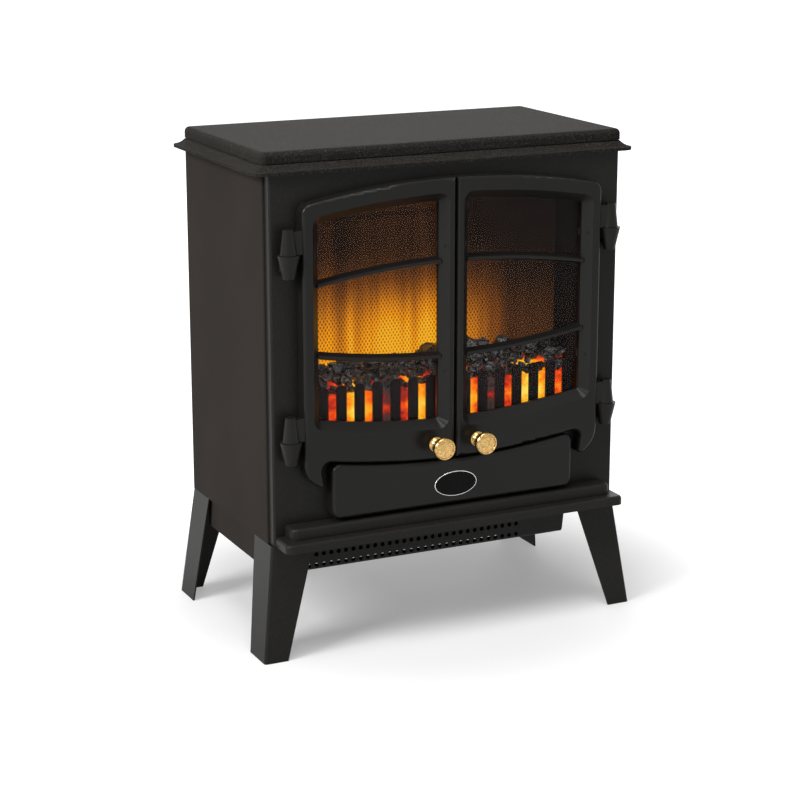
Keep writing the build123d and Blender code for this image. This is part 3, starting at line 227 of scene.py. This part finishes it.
class Finish:
    """A material or a world with one main shader, whose sockets take values or Levels."""

    def __init__(self, name, kind="materials", shader="Principled BSDF"):
        self.owner = getattr(bpy.data, kind).new(name)
        self.owner.use_nodes = True
        self.tree = self.owner.node_tree
        self.shader = self.tree.nodes[shader]

    def node(self, kind, settings=None, values=None, output=0):
        """Adds a node with its settings and the values or links of its sockets."""
        made = self.tree.nodes.new(kind)
        for key, value in (settings or {}).items():
            if key == "stops":
                ramp = made.color_ramp.elements
                while len(ramp) < len(value):
                    ramp.new(1.0)
                for stop, (place, colour) in zip(ramp, value):
                    stop.position = place
                    stop.color = (*colour, 1.0)
            else:
                setattr(made, key, value)
        for key, value in (values or {}).items():
            self.feed(made.inputs[key], value)
        return Level(self, made.outputs[output])

    def feed(self, socket, value):
        """Links a Level to a socket, or sets the socket's own value."""
        if isinstance(value, Level):
            self.tree.links.new(value.socket, socket)
        elif socket.type == "RGBA" and len(value) == 3:
            socket.default_value = (*value, 1.0)
        else:
            socket.default_value = value

    def set(self, **values):
        """Feeds the main shader, with Base_Color for Base Color, and gives the material or world."""
        for key, value in values.items():
            self.feed(self.shader.inputs[key.replace("_", " ")], value)
        return self.owner

    def place(self):
        """Where a point of the surface is on the stove, as a vector."""
        return self.node("ShaderNodeTexCoord", output="Object")

    def axes(self):
        """The same place as three Levels."""
        split = self.node("ShaderNodeSeparateXYZ", {}, {0: self.place()})
        return [Level(self, socket) for socket in split.socket.node.outputs]

    def stretched(self, scale):
        """The place, squeezed or stretched along the three axes."""
        values = {"Vector": self.place(), "Scale": scale}
        return self.node("ShaderNodeMapping", {}, values)

    def noise(self, scale, detail=2.0, rough=0.5, place=None):
        values = {"Vector": place or self.place(), "Scale": scale}
        values.update({"Detail": detail, "Roughness": rough})
        return self.node("ShaderNodeTexNoise", {}, values)

    def cells(self, scale, output="Distance"):
        values = {"Vector": self.place(), "Scale": scale}
        return self.node("ShaderNodeTexVoronoi", {}, values, output)

    def mixed(self, share, first, second):
        """A colour from first to second."""
        return self.node("ShaderNodeMix", {"data_type": "RGBA"}, {0: share, 6: first, 7: second}, 2)

    def ramp(self, level, tones):
        """A colour by heat, from a table of heats and tones."""
        stops = [(heat, tone(look)) for heat, look in tones]
        return self.node("ShaderNodeValToRGB", {"stops": stops}, {0: level})

    def bumps(self, height, strength, depth):
        """Small relief, depth in millimetres."""
        values = {"Height": height, "Strength": strength, "Distance": depth * MM}
        return self.node("ShaderNodeBump", {}, values)

    def seen_rays(self):
        """1 for rays that show the surroundings, 0 for those that only light the stove."""
        path = self.node("ShaderNodeLightPath").socket.node.outputs
        camera, glossy, through = (Level(self, path[key]) for key in SEEN_RAYS)
        return camera + glossy + through


# Sizes and colours that a user would change
def length(name, text, default):
    return FloatProperty(name=name, description=text, default=default, min=0, unit="LENGTH")


def shade(name, text, look):
    return FloatVectorProperty(
        name=name, description=text, default=tone(look), subtype="COLOR", min=0, max=1)


class StoveSizes(bpy.types.PropertyGroup):
    coal_size: length("Coal size", "Width of a large coal", 25 * MM)
    coal_columns: IntProperty(
        name="Coals in a row", description="Coals side by side", default=14, min=1)
    chip_count: IntProperty(
        name="Chips", description="Small coals between the large ones", default=360, min=0)
    coal_seed: IntProperty(name="Coal seed", description="Another heap of coals", default=7)
    badge_width: length("Badge width", "Outside width of the oval ring", 57 * MM)
    badge_height: length("Badge height", "Outside height of the oval ring", 31.5 * MM)
    badge_wire: length("Badge ring", "Thickness of the oval ring", 1.7 * MM)
    dot_pitch: length("Dot pitch", "Distance between the dots in a row of the flame screen", 4.6 * MM)
    row_pitch: length("Row pitch", "Distance between the rows of dots", 3.7 * MM)
    glow: FloatProperty(
        name="Glow", description="Brightness of the bed and the screen", default=1.0, min=0)


class StoveColours(bpy.types.PropertyGroup):
    top: shade("Top plate", "Coat of the top plate", "201e1c")
    side: shade("Casing", "Coat of the side panels", "2c2825")
    front: shade("Front", "Coat of the fascia, the ledge and the legs", "191817")
    door: shade("Doors", "Coat of the doors and the flap", "161514")
    brass: shade("Brass", "Knobs", "c8a468")
    coal: shade("Coal", "Coals", "181717")


# Finishes
def coat(name, colour, roughness, gloss, grain=0.05, painted_speck_share=0.0):
    """Fine-textured stove coat: grain is its relief in mm, and the last argument the share of bright
    specks painted into the colour as glints.
    """
    made = Finish(name)
    fine = made.noise(scale=1500.0, detail=3.0)
    cloud = made.noise(scale=9.0).rise(0.3, 0.7) * 0.5
    base = made.mixed(cloud, colour, [c * 1.25 for c in colour])
    if painted_speck_share:
        # Painted glints: near-white specks in the colour, where flecks of the coat would catch the
        # light
        painted_glint = 1 - made.cells(scale=850.0).rise(0.10, 0.28)
        base = made.mixed(painted_glint * painted_speck_share, base, tone("a8a49c"))
    relief = made.bumps(fine, strength=0.5, depth=grain)
    rough = roughness + 0.16 * fine - 0.08
    return made.set(Base_Color=base, Roughness=rough, Specular_IOR_Level=gloss, Normal=relief)


def plain(name, look, roughness, metal=0.0, grain=0.0):
    """Plastic or metal with an even surface."""
    made = Finish(name)
    if grain:
        made.set(Normal=made.bumps(made.noise(scale=700.0), strength=0.4, depth=grain))
    return made.set(Base_Color=tone(look), Roughness=roughness, Metallic=metal)


def brushed_brass(colour):
    """Turned brass with fine brushing strokes, which also darken its colour as painted dark
    reflections.
    """
    made = Finish("brass")
    strokes = made.noise(scale=420.0, detail=4.0, rough=0.6, place=made.stretched((1.0, 1.0, 2.0)))
    # Darker strokes in the colour: the brushing marks, with dark streaks of reflection painted in
    strokes_and_reflection = strokes.rise(0.38, 0.66)
    base = made.mixed(strokes_and_reflection, colour, [c * 0.5 for c in colour])
    relief = made.bumps(strokes, strength=0.35, depth=0.12)
    return made.set(Base_Color=base, Metallic=1.0, Roughness=0.12 + 0.2 * strokes_and_reflection, Normal=relief)


def window_glass():
    return Finish("window_glass").set(Base_Color=tone("0c0b0a"), Roughness=0.03, Alpha=0.07)


def flame_screen(sizes):
    """Dotted screen, hot low on the left, fading upwards and to the right."""
    made = Finish("flame_screen")
    x, _, z = made.axes()
    tall = made.stretched((1.0, 1.0, 0.3))
    wander = made.noise(scale=9.0, detail=3.0, rough=0.55, place=tall) - 0.5
    thin = made.stretched((1.0, 1.0, 0.07))
    streak = made.noise(scale=42.0, detail=3.0, rough=0.6, place=thin) - 0.5
    across = x / MM + 30 * wander
    height = z / MM - 36 * wander
    heat = (1 - 0.8 * height.rise(*FLAME_FADE)) * (1 - 0.72 * across.rise(*FLAME_LEAN))
    corner = across.rise(*CORNER_ACROSS) * height.rise(*CORNER_HEIGHT)
    heat = heat * (1 - 0.62 * corner) * (1 + 1.1 * streak)
    # Painted reflection: the dark frame of the chamber, mirrored across the screen as a stripe and a
    # band
    heat = heat * (1 - 0.32 * (x / MM).peak(*FRAME_REFLECTION_STRIPE)) * (1 - 0.3 * (z / MM).peak(*FRAME_REFLECTION_BAND))
    columns = (2 * math.pi / sizes.dot_pitch * x).cosine()
    rows = (math.pi / sizes.row_pitch * z).cosine()
    heat = heat * (1 - 0.42 * (columns * rows).rise(0.0, 0.6))
    made.set(Base_Color=tone("120d0b"), Roughness=0.5, Specular_IOR_Level=0.0)
    return made.set(Emission_Color=made.ramp(heat, FLAME_TONES), Emission_Strength=sizes.glow)


def ember_glow(glow):
    """Moulded bed lit from below: yellow, orange and red patches with ash-grey ones between them."""
    made = Finish("ember_glow")
    x, _, z = made.axes()
    grain = made.noise(scale=170.0, detail=4.0, rough=0.65) - 0.5
    drift = made.noise(scale=34.0) - 0.5
    heat = 0.37 + 0.4 * drift + 0.75 * grain
    for centre, reach, more in HOT_SPOTS:
        heat = heat + more * (x / MM).peak(centre, reach)
    for centre, reach, less in DULL_SPOTS:
        heat = heat - less * (x / MM).peak(centre, reach)
    heat = heat + 0.2 * (z / MM).peak(*EMBER_FOOT)
    heat = heat * (1 - 0.8 * (z / MM).rise(*COAL_LINE))
    made.set(Base_Color=tone("3a1109"), Roughness=0.5, Specular_IOR_Level=0.2)
    made.set(Emission_Color=made.ramp(heat, EMBER_TONES), Emission_Strength=1.1 * glow)
    return made.set(Normal=made.bumps(grain, strength=0.6, depth=1.0))


def coal_coat(colour):
    """Glossy moulded coal with dull and bright facets and small glints painted into its colour as
    bright spots.
    """
    made = Finish("coal")
    facets = made.node("ShaderNodeSeparateXYZ", {}, {0: made.cells(scale=130.0, output="Color")})
    fine = made.noise(scale=420.0, detail=4.0, rough=0.6)
    # Painted glints: small near-white spots in the colour of the coal
    highlight_spots = 1 - made.cells(scale=190.0).rise(0.12, 0.22)
    painted_glint = highlight_spots * made.noise(scale=60.0).rise(0.45, 0.6)
    base = made.mixed(facets.rise(0.35, 1.0), colour, tone("454341"))
    made.set(Base_Color=made.mixed(painted_glint, base, tone("dcdad6")), Roughness=0.08 + 0.4 * fine)
    chipped = made.noise(scale=240.0, detail=3.0, rough=0.6)
    return made.set(Normal=made.bumps(chipped, strength=0.8, depth=1.6), Specular_IOR_Level=0.8)


def paint_table(sizes, colours):
    """The finish of each material slot of the record."""
    return {
        # The top and the front coats carry painted glints in their colour
        "top_coat": coat("top_coat", list(colours.top), 0.72, 0.03, grain=0.09, painted_speck_share=0.36),
        "casing": coat("casing_coat", list(colours.side), 0.8, 0.03),
        "fascia": coat("front_coat", list(colours.front), 0.42, 0.11, painted_speck_share=0.08),
        "door_coat": coat("door_coat", list(colours.door), 0.3, 0.14, grain=0.02),
        "fret_coat": coat("fret_coat", tone("221a1b"), 0.7, 0.1),
        "liner": coat("liner", tone("261f1c"), 0.8, 0.02),
        "glass": window_glass(),
        "brass": brushed_brass(list(colours.brass)),
        "fuel": ember_glow(sizes.glow),
        "screen": flame_screen(sizes),
        "zinc": plain("zinc", "a9abac", 0.35, metal=1.0, grain=0.05),
        "reflector": plain("reflector", "d8d8d6", 0.15, metal=1.0),
        "screw": plain("screw_black", "3a3a3b", 0.35, metal=1.0),
        "motor": plain("motor", "4a4a4c", 0.4, metal=0.6),
        "fins": plain("fins", "b4b2ae", 0.4, metal=1.0),
        "lamp_glass": plain("lamp_glass", "ffe9c4", 0.3),
        "holder": plain("holder", "d9d4c8", 0.6),
        "black_plastic": plain("black_plastic", "1b1b1b", 0.45, grain=0.02),
        "red_plastic": plain("red_plastic", "9c1a12", 0.25),
        "white_plastic": plain("white_plastic", "dedcd4", 0.5),
    }


# Modelling steps
def clear_selection():
    if bpy.context.object and bpy.context.object.mode != "OBJECT":
        bpy.ops.object.mode_set(mode="OBJECT")
    bpy.ops.object.select_all(action="DESELECT")


def pick(objects):
    """Selects these objects alone, the first one active."""
    clear_selection()
    for obj in objects:
        obj.select_set(True)
    bpy.context.view_layer.objects.active = objects[0]


def settle(obj, name, material, body):
    """Names a finished piece, puts its place into its mesh and lets it ride on its body."""
    pick([obj])
    bpy.ops.object.transform_apply(location=True, rotation=True, scale=True)
    obj.name = name
    obj.data.name = name
    obj.data.materials.clear()
    obj.data.materials.append(material)
    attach(obj, body)


def add_box(middle, size, turn=(0, 0, 0)):
    """A box of that size about its middle."""
    clear_selection()
    bpy.ops.mesh.primitive_cube_add(size=1, location=middle, rotation=turn)
    box = bpy.context.object
    box.scale = size
    return box


def add_modifier(obj, kind, **settings):
    """Adds a modifier and applies it."""
    pick([obj])
    made = obj.modifiers.new(kind.title(), kind)
    for key, value in settings.items():
        setattr(made, key, value)
    bpy.ops.object.modifier_apply(modifier=made.name)


def clouds(name, size):
    """Cloudy pattern for a displaced surface, size in metres."""
    made = bpy.data.textures.new(name, "CLOUDS")
    made.noise_scale = size
    made.noise_depth = 3
    return made


class STOVE_OT_finishes(bpy.types.Operator):
    """Give each CAD node the finish of its material slot"""
    bl_idname = "stove.finishes"
    bl_label = "Finishes"

    def execute(self, context):
        paints = paint_table(context.scene.stove_sizes, context.scene.stove_colours)
        for part in frame["record"]["subparts"]:
            node = frame["nodes"][part["node"]]
            node.data.materials.clear()
            node.data.materials.append(paints[part["material_slot"]])
        return {"FINISHED"}


class STOVE_OT_coal_bed(bpy.types.Operator):
    """Model the glowing bed that fills the moulding behind the fret"""
    bl_idname = "stove.coal_bed"
    bl_label = "Glowing bed"

    def execute(self, context):
        front_height = 58 * MM
        rear_rise = 26 * MM
        cuts = 5
        middle = (BED_LOW + BED_HIGH) / 2
        middle.z = BED_LOW.z + front_height / 2
        bed = add_box(middle, (BED_HIGH.x - BED_LOW.x, BED_HIGH.y - BED_LOW.y, front_height))
        bpy.ops.object.transform_apply(location=True, rotation=True, scale=True)
        bpy.ops.object.mode_set(mode="EDIT")
        bpy.ops.mesh.select_all(action="DESELECT")
        bpy.ops.object.mode_set(mode="OBJECT")
        for corner in bed.data.vertices:
            corner.select = corner.co.y > middle.y and corner.co.z > middle.z
        bpy.ops.object.mode_set(mode="EDIT")
        bpy.ops.transform.translate(value=(0, 0, rear_rise))
        bpy.ops.mesh.select_all(action="SELECT")
        bpy.ops.mesh.subdivide(number_cuts=cuts)
        bpy.ops.mesh.subdivide(number_cuts=cuts)
        bpy.ops.object.mode_set(mode="OBJECT")
        add_modifier(
            bed, "DISPLACE", texture=clouds("bed_relief", 9 * MM), texture_coords="OBJECT",
            strength=5 * MM, mid_level=0.8)
        bpy.ops.object.shade_smooth()
        fuel = frame["nodes"]["fuel_bed"].data.materials[0]
        settle(bed, "glowing_bed", fuel, "casing")
        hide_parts("fuel_bed")
        return {"FINISHED"}


class STOVE_OT_coals(bpy.types.Operator):
    """Heap angular coals on the glowing bed"""
    bl_idname = "stove.coals"
    bl_label = "Coals"

    def lump(self, number, size, fine):
        """One angular coal, with chipped edges if it is a fine one."""
        wander = 0.14 * size
        depth = 0.78 + 0.05 * number
        flatness = 0.68
        edge = 0.022 * size
        clear_selection()
        bpy.ops.mesh.primitive_ico_sphere_add(subdivisions=2 if fine else 1, radius=size / 2)
        coal = bpy.context.object
        bpy.ops.object.mode_set(mode="EDIT")
        bpy.ops.mesh.select_all(action="SELECT")
        bpy.ops.transform.vertex_random(offset=wander, uniform=0.4, normal=0.3, seed=number)
        bpy.ops.transform.resize(value=(1.0, depth, flatness))
        bpy.ops.object.mode_set(mode="OBJECT")
        if fine:
            add_modifier(coal, "DECIMATE", ratio=0.5)
            add_modifier(coal, "BEVEL", width=edge, segments=1)
        return coal

    def laid(self, chance, kinds, place, share):
        """A copy of one of the coals, turned by chance."""
        tilt = 0.6
        coal = chance.choice(kinds).copy()
        coal.data = coal.data.copy()
        bpy.context.collection.objects.link(coal)
        coal.location = place
        leans = (chance.uniform(-tilt, tilt), chance.uniform(-tilt, tilt))
        coal.rotation_euler = (*leans, chance.uniform(0, FULL_TURN))
        coal.scale = (share, share, share)
        return coal

    def rows(self, chance, kinds, sizes, width):
        """Rows of large coals, each higher than the one before it, and the lumps that stand out."""
        for depth, height, share in COAL_ROWS:
            for column in range(sizes.coal_columns):
                along = (column + chance.uniform(0.2, 0.8)) / sizes.coal_columns - 0.5
                place = Vector((along * width, BED_LOW.y + depth * MM, BED_LOW.z + height * MM))
                place.z += chance.uniform(-5, 4) * MM
                yield self.laid(chance, kinds, place, share * chance.uniform(0.75, 1.2))
        for along, top, share in PEAKS:
            sunk = 0.3 * share * sizes.coal_size
            place = Vector((along * MM, BED_HIGH.y - PEAK_SETBACK, top * MM - sunk))
            yield self.laid(chance, kinds, place, share)

    def chips(self, chance, kinds, sizes, width):
        """Small coals, higher the further back they lie."""
        for _ in range(sizes.chip_count):
            back = chance.uniform(0, 1)
            along = chance.uniform(-0.52, 0.52) * width
            depth = CHIP_DEPTH + CHIP_DEEPER * back
            height = CHIP_HEIGHT + CHIP_HIGHER * back + chance.uniform(-2, 3)
            place = Vector((along, BED_LOW.y + depth * MM, BED_LOW.z + height * MM))
            yield self.laid(chance, kinds, place, chance.uniform(0.3, 0.6))

    def execute(self, context):
        sizes = context.scene.stove_sizes
        chance = random.Random(sizes.coal_seed)
        width = BED_HIGH.x - BED_LOW.x - sizes.coal_size
        large = [self.lump(number, sizes.coal_size, True) for number in range(COAL_KINDS)]
        small = [self.lump(number, sizes.coal_size, False) for number in range(COAL_KINDS)]
        coals = [*self.rows(chance, large, sizes, width), *self.chips(chance, small, sizes, width)]
        for kind in large + small:
            bpy.data.objects.remove(kind)
        pick(coals)
        bpy.ops.object.join()
        finish = coal_coat(list(context.scene.stove_colours.coal))
        settle(bpy.context.object, "coals", finish, "casing")
        return {"FINISHED"}


class STOVE_OT_badge(bpy.types.Operator):
    """Set a thin oval ring with a plain face on the flap"""
    bl_idname = "stove.badge"
    bl_label = "Badge ring"

    def execute(self, context):
        sizes = context.scene.stove_sizes
        half_width = (sizes.badge_width - sizes.badge_wire) / 2
        half_height = (sizes.badge_height - sizes.badge_wire) / 2
        centre = Vector((0, FLAP_FRONT, BADGE_MIDDLE))
        clear_selection()
        bpy.ops.curve.primitive_bezier_circle_add(radius=1, location=centre, rotation=UPRIGHT)
        ring = bpy.context.object
        ring.scale = (half_width, half_height, 1)
        bpy.ops.object.transform_apply(location=False, rotation=False, scale=True)
        ring.data.resolution_u = 24
        ring.data.bevel_depth = sizes.badge_wire / 2
        ring.data.bevel_resolution = 3
        bpy.ops.object.convert(target="MESH")
        silver = plain("badge_silver", "e4e4e2", 0.18, metal=1.0)
        settle(bpy.context.object, "badge_ring", silver, "flap")
        clear_selection()
        bpy.ops.mesh.primitive_cylinder_add(
            vertices=96, radius=1, depth=BADGE_FACE_DEPTH, location=centre, rotation=UPRIGHT)
        face = bpy.context.object
        face.scale = (half_width, half_height, 1)
        black = coat("badge_face", tone("0f0f0f"), 0.3, 0.04)
        settle(face, "badge_face", black, "flap")
        return {"FINISHED"}


class STOVE_OT_outlet_shade(bpy.types.Operator):
    """Hang a near-black sheet under the pan, behind the upper holes of the outlet, as painted shade in
    them
    """
    bl_idname = "stove.baffle"
    bl_label = "Outlet shade sheet"

    def execute(self, context):
        low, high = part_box("outlet_grille")
        bottom = low.z + SHADE_SHEET_CUT
        middle = ((low.x + high.x) / 2, low.y + SHADE_SHEET_SETBACK, (bottom + high.z) / 2)
        plate = add_box(middle, (high.x - low.x - 2 * SHADE_SHEET_SIDE, SHADE_SHEET_THICKNESS, high.z - bottom))
        # Painted shade: a near-black sheet that darkens the upper holes of the outlet
        dark = coat("outlet_shade_coat", tone("12100f"), 0.8, 0.02)
        settle(plate, "outlet_shade_sheet", dark, "casing")
        return {"FINISHED"}


class STOVE_OT_dial(bpy.types.Operator):
    """Mark the thermostat in the control recess"""
    bl_idname = "stove.dial"
    bl_label = "Dial marks"

    def execute(self, context):
        low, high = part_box("thermostat_knob")
        centre = (low + high) / 2
        reach = (high.x - low.x) / 2 + DIAL_GAP
        white = plain("mark_white", "e8e6e0", 0.5)
        marks = []
        for step in range(DIAL_STEPS):
            angle = math.radians(DIAL_START + DIAL_STEP * step)
            across, up = reach * math.sin(angle), reach * math.cos(angle)
            place = (centre.x + across, high.y + DIAL_LIFT, centre.z + up)
            marks.append(add_box(place, MARK_SIZE, turn=(0, angle, 0)))
        pointer = add_box((centre.x, low.y, centre.z + POINTER_LIFT), POINTER_SIZE)
        settle(pointer, "dial_pointer", white, "thermostat")
        pick(marks)
        bpy.ops.object.join()
        settle(bpy.context.object, "dial_marks", white, "casing")
        return {"FINISHED"}


class STOVE_OT_stage(bpy.types.Operator):
    """Set the floor, the lights, the background and the camera"""
    bl_idname = "stove.stage"
    bl_label = "Stage"

    def lamp(self, name, place, power, width):
        """Soft area lamp that faces the stove."""
        clear_selection()
        bpy.ops.object.light_add(type="AREA", location=place)
        lamp = bpy.context.object
        lamp.name = name
        lamp.data.energy = power
        lamp.data.size = width
        lamp.rotation_euler = (Vector(LAMP_AIM) - Vector(place)).to_track_quat("-Z", "Y").to_euler()

    def floor(self):
        """Pale floor that is white where it is seen, apart from the stove's shadow, which the lamps
        cast and which is also painted in as a darker patch round the stove.
        """
        clear_selection()
        bpy.ops.mesh.primitive_plane_add(size=40, location=(0, 0, -FLOOR_DROP))
        floor = bpy.context.object
        floor.name = "floor"
        made = Finish("floor")
        x, y, _ = made.axes()
        away = (x * x + y * y) ** 0.5
        # Painted shadow: the seen floor is darker round the stove and brightens away from it
        glow = FLOOR_PAINTED_SHADOW
        for start, end, share in FLOOR_RISES:
            glow = glow + share * away.rise(start, end)
        made.set(Base_Color=FLOOR_GREY, Roughness=1.0, Specular_IOR_Level=0.0)
        shown = made.mixed(made.seen_rays() * glow, BLACK, WHITE)
        floor.data.materials.append(made.set(Emission_Color=shown, Emission_Strength=1.0))

    def camera(self, scene):
        """Camera at the photograph's viewing angle."""
        clear_selection()
        bpy.ops.object.camera_add(location=CAMERA_PLACE)
        camera = bpy.context.object
        camera.name = "photo_camera"
        camera.rotation_euler = (CAMERA_AIM - CAMERA_PLACE).to_track_quat("-Z", "Y").to_euler()
        camera.data.lens = CAMERA_LENS
        camera.data.sensor_width = CAMERA_SENSOR
        camera.data.clip_end = CAMERA_REACH
        scene.camera = camera

    def execute(self, context):
        self.floor()
        for lamp in LAMPS:
            self.lamp(*lamp)
        studio = Finish("studio", "worlds", "Background")
        context.scene.world = studio.set(Color=studio.mixed(studio.seen_rays(), SKY, WHITE))
        context.scene.view_settings.view_transform = "Standard"
        self.camera(context.scene)
        return {"FINISHED"}


class STOVE_PT_panel(bpy.types.Panel):
    """Pieces of the stove"""
    bl_label = "Stove"
    bl_idname = "STOVE_PT_panel"
    bl_space_type = "VIEW_3D"
    bl_region_type = "UI"
    bl_category = "Stove"

    def draw(self, context):
        for group in (context.scene.stove_sizes, context.scene.stove_colours):
            for name in group.bl_rna.properties.keys():
                if name not in ("rna_type", "name"):
                    self.layout.prop(group, name)
        for operator in OPERATORS:
            self.layout.operator(operator.bl_idname)


OPERATORS = (
    STOVE_OT_finishes,
    STOVE_OT_coal_bed,
    STOVE_OT_coals,
    STOVE_OT_badge,
    STOVE_OT_outlet_shade,
    STOVE_OT_dial,
    STOVE_OT_stage,
)
CLASSES = (StoveSizes, StoveColours, *OPERATORS, STOVE_PT_panel)


def register():
    for item in CLASSES:
        bpy.utils.register_class(item)
    bpy.types.Scene.stove_sizes = PointerProperty(type=StoveSizes)
    bpy.types.Scene.stove_colours = PointerProperty(type=StoveColours)


def unregister():
    del bpy.types.Scene.stove_sizes
    del bpy.types.Scene.stove_colours
    for item in reversed(CLASSES):
        bpy.utils.unregister_class(item)


def main():
    register()
    for operator in OPERATORS:
        group, name = operator.bl_idname.split(".")
        getattr(getattr(bpy.ops, group), name)()


if __name__ == "__main__":
    main()
